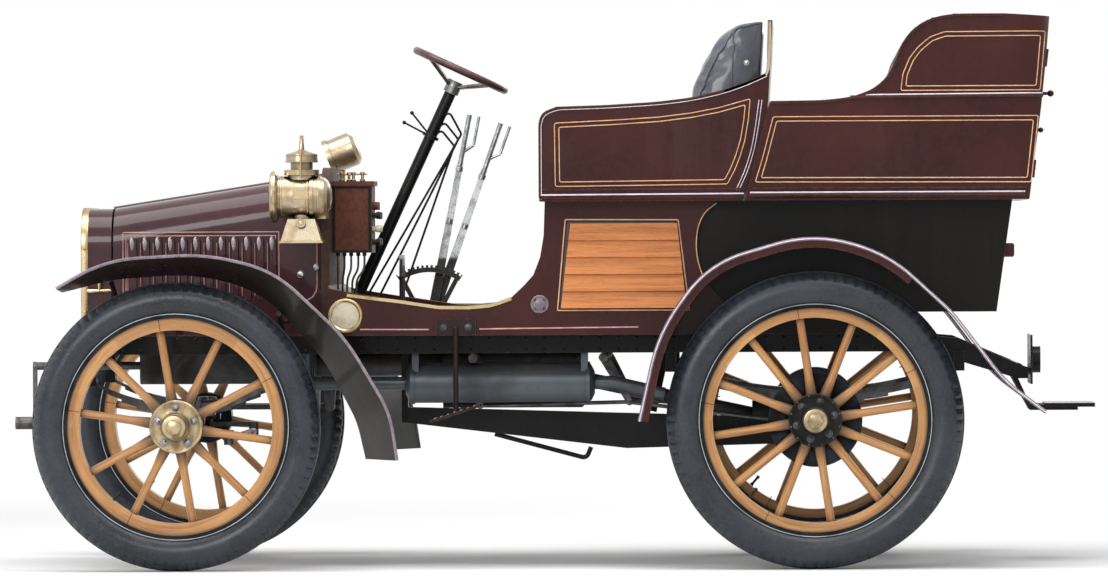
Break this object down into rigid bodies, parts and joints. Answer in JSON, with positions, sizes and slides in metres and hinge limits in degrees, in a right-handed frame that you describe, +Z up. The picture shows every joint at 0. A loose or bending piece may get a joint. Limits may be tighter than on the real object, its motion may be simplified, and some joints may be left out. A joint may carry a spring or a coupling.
{
  "type": "rear-entrance tonneau motor car of the brass era",
  "caption": "Open motor car with wooden spoked wheels, louvred bonnet, brass lamps, hand levers, front bench and a rear-entrance tonneau with a hinged door.",
  "frame": {"origin": "on the ground, midway between the ends and the sides of the car", "axes": "-X forward, -Y to the car's left side, +Z up"},
  "size_m": [3.27, 1.54, 1.6398],
  "materials": {
    "maroon_paint": "high-gloss coach varnish over oxblood paint",
    "black_paint": "worn black enamel",
    "brass": "polished, slightly aged",
    "steel": "bright, hand polished",
    "tyre": "dusty blue-grey rubber",
    "varnished_wood": "honey-coloured varnished ash",
    "mahogany": "French polished",
    "floor_wood": "oiled boards",
    "leather": "black buttoned hide",
    "cast_iron": "oily"
  },
  "bodies": {
    "chassis": {"body_sides": "maroon_paint", "bonnet_sills": "maroon_paint", "brake_rods": "black_paint", "coil_box": "mahogany", "control_cables": "black_paint", "cross_members": "black_paint", "dash_lamp": "brass", "dashboard": "mahogany", "engine_block": "cast_iron", "floor_boards": "floor_wood", "frame_rails": "black_paint", "front_axle": "black_paint", "front_cushion": "leather", "front_seat_shell": "maroon_paint", "front_squab": "leather", "front_wings": "maroon_paint", "gearbox_and_shaft": "cast_iron", "leaf_springs": "black_paint", "levers_and_pedals": "steel", "louvre_panels": "varnished_wood", "lower_rear_body": "maroon_paint", "number_plate": "black_paint", "radiator_core": "black_paint", "radiator_shell": "brass", "rear_axle": "black_paint", "rear_cushions": "leather", "rear_step": "black_paint", "rear_wings": "maroon_paint", "side_lamp": "brass", "side_steps": "steel", "silencer": "black_paint", "starting_handle": "black_paint", "steering_column": "black_paint", "tonneau": "maroon_paint", "torque_arm": "black_paint", "wing_stays": "black_paint"},
    "wheel_front_left": {"tyre_front_left": "tyre", "wood_wheel_front_left": "varnished_wood", "rim_and_hub_front_left": "black_paint"},
    "wheel_front_right": {"tyre_front_right": "tyre", "wood_wheel_front_right": "varnished_wood", "rim_and_hub_front_right": "black_paint"},
    "wheel_rear_left": {"tyre_rear_left": "tyre", "wood_wheel_rear_left": "varnished_wood", "rim_and_hub_rear_left": "black_paint"},
    "wheel_rear_right": {"tyre_rear_right": "tyre", "wood_wheel_rear_right": "varnished_wood", "rim_and_hub_rear_right": "black_paint"},
    "knuckle_left": {"knuckle_left": "black_paint"},
    "knuckle_right": {"knuckle_right": "black_paint"},
    "steering_wheel": {"steering_wheel": "black_paint"},
    "track_rod": {"track_rod": "black_paint"},
    "drag_link": {"drag_link": "steel"},
    "drop_arm": {"drop_arm": "steel"},
    "rear_door": {"rear_door": "maroon_paint"},
    "bonnet_left": {"bonnet_left": "maroon_paint"},
    "bonnet_right": {"bonnet_right": "maroon_paint"}
  },
  "joints": [
    {"name": "spin_front_left", "type": "hinge", "parent": "knuckle_left", "child": "wheel_front_left", "pos_m": [-1.0975, -0.65, 0.428], "axis": [0, -1, 0], "continuous": true},
    {"name": "spin_front_right", "type": "hinge", "parent": "knuckle_right", "child": "wheel_front_right", "pos_m": [-1.0975, 0.65, 0.428], "axis": [0, -1, 0], "continuous": true},
    {"name": "spin_rear_left", "type": "hinge", "parent": "chassis", "child": "wheel_rear_left", "pos_m": [0.7925, -0.65, 0.44], "axis": [0, -1, 0], "continuous": true},
    {"name": "spin_rear_right", "type": "hinge", "parent": "chassis", "child": "wheel_rear_right", "pos_m": [0.7925, 0.65, 0.44], "axis": [0, -1, 0], "continuous": true},
    {"name": "steer_left", "type": "hinge", "parent": "chassis", "child": "knuckle_left", "pos_m": [-1.0975, -0.57, 0.428], "axis": [0, 0, 1], "range_deg": [-25, 25]},
    {"name": "steer_right", "type": "hinge", "parent": "chassis", "child": "knuckle_right", "pos_m": [-1.0975, 0.57, 0.428], "axis": [0, 0, 1], "range_deg": [-25, 25]},
    {"name": "steering_column_turn", "type": "hinge", "parent": "chassis", "child": "steering_wheel", "pos_m": [-0.28885, 0.3, 1.49741], "axis": [0.4195, 0, 0.9078], "range_deg": [-150, 150]},
    {"name": "track_rod_pivot", "type": "hinge", "parent": "knuckle_left", "child": "track_rod", "pos_m": [-0.9475, -0.57, 0.387], "axis": [0, 0, 1], "range_deg": [-25, 25]},
    {"name": "drag_link_pivot", "type": "hinge", "parent": "knuckle_right", "child": "drag_link", "pos_m": [-1.0975, 0.45, 0.4666], "axis": [0, 0, 1], "range_deg": [-25, 25]},
    {"name": "drop_arm_swing", "type": "hinge", "parent": "chassis", "child": "drop_arm", "pos_m": [-0.7005, 0.382, 0.6166], "axis": [0, 1, 0], "range_deg": [-20.26, 20.26]},
    {"name": "rear_door_hinge", "type": "hinge", "parent": "chassis", "child": "rear_door", "pos_m": [1.44845, 0.19, 1.08769], "axis": [0.1153, 0, 0.9933], "range_deg": [0, 100]},
    {"name": "bonnet_left_hinge", "type": "hinge", "parent": "chassis", "child": "bonnet_left", "pos_m": [-1.3195, 0, 1.079], "axis": [-0.9882, 0, -0.153], "range_deg": [0, 65]},
    {"name": "bonnet_right_hinge", "type": "hinge", "parent": "chassis", "child": "bonnet_right", "pos_m": [-1.3195, 0, 1.079], "axis": [0.9882, 0, 0.153], "range_deg": [0, 65]}
  ],
  "couplings": [
    {"joint": "steer_right", "follows": "steer_left", "ratio": 1},
    {"joint": "steering_column_turn", "follows": "steer_left", "ratio": 6},
    {"joint": "track_rod_pivot", "follows": "steer_left", "ratio": -1},
    {"joint": "drag_link_pivot", "follows": "steer_left", "ratio": -1},
    {"joint": "drop_arm_swing", "follows": "steer_left", "ratio": -0.7904}
  ]
}
